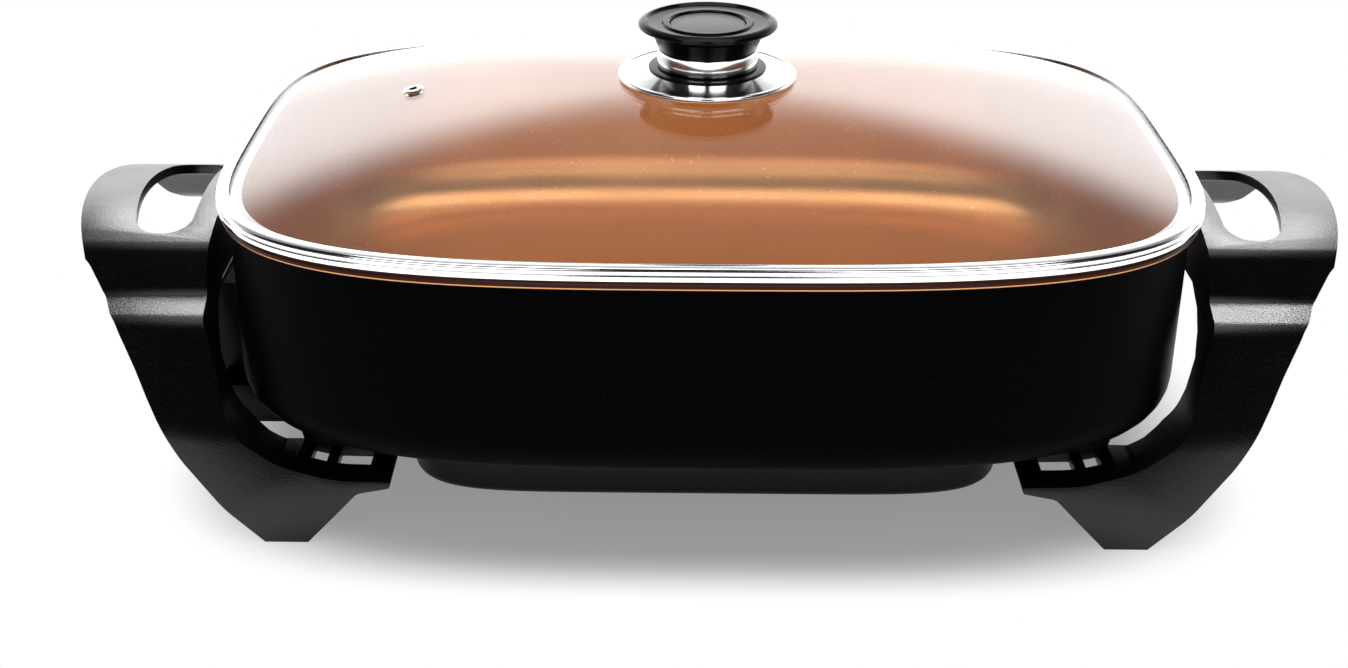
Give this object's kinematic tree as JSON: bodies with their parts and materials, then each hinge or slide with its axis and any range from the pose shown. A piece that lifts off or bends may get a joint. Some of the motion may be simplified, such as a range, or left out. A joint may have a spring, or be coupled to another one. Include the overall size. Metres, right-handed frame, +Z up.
{
  "type": "electric skillet",
  "caption": "Rectangular electric skillet: cast pan with a copper coloured inside on two footed black handles, under a domed glass lid with a steel rim, steam vent and round knob.",
  "frame": {"origin": "on the table, in the middle of the four feet under the middle of the pan", "axes": "+X along the pan towards the right handle, +Y to the back, +Z up"},
  "size_m": [0.548, 0.2958, 0.1923],
  "materials": {
    "enamel": "speckled satin",
    "tray_enamel": "speckled satin",
    "handle_plastic": "fine grain",
    "knob_plastic": "gloss",
    "cap_plastic": "satin",
    "lid_glass": "clear",
    "rim_steel": "polished",
    "zinc_steel": "zinc plated",
    "sheath": "heat stained",
    "pin_metal": "nickel plated",
    "ceramic": "matt",
    "silicone": "matt"
  },
  "bodies": {
    "cooker": {"pan": "enamel", "heater_tray": "tray_enamel", "tray_screws": "zinc_steel", "heating_element": "sheath", "terminal_pin_front": "pin_metal", "terminal_pin_rear": "pin_metal", "terminal_bush_front": "ceramic", "terminal_bush_rear": "ceramic", "sensor_well": "zinc_steel", "probe_guard": "knob_plastic", "guard_screws": "zinc_steel", "handle_left": "handle_plastic", "handle_right": "handle_plastic", "handle_screws": "zinc_steel"},
    "lid": {"lid_glass": "lid_glass", "lid_rim": "rim_steel", "steam_vent": "rim_steel", "knob_gasket": "silicone", "knob_standoff": "zinc_steel", "knob_guard": "rim_steel", "knob_collar": "rim_steel", "knob_grip": "knob_plastic", "knob_cap": "cap_plastic", "lower_gasket": "silicone", "lower_washer": "zinc_steel", "knob_screw": "zinc_steel"}
  },
  "joints": [
    {"name": "lid_lift", "type": "slide", "parent": "cooker", "child": "lid", "axis": [0, 0, 1], "range_m": [0, 0.12]}
  ]
}
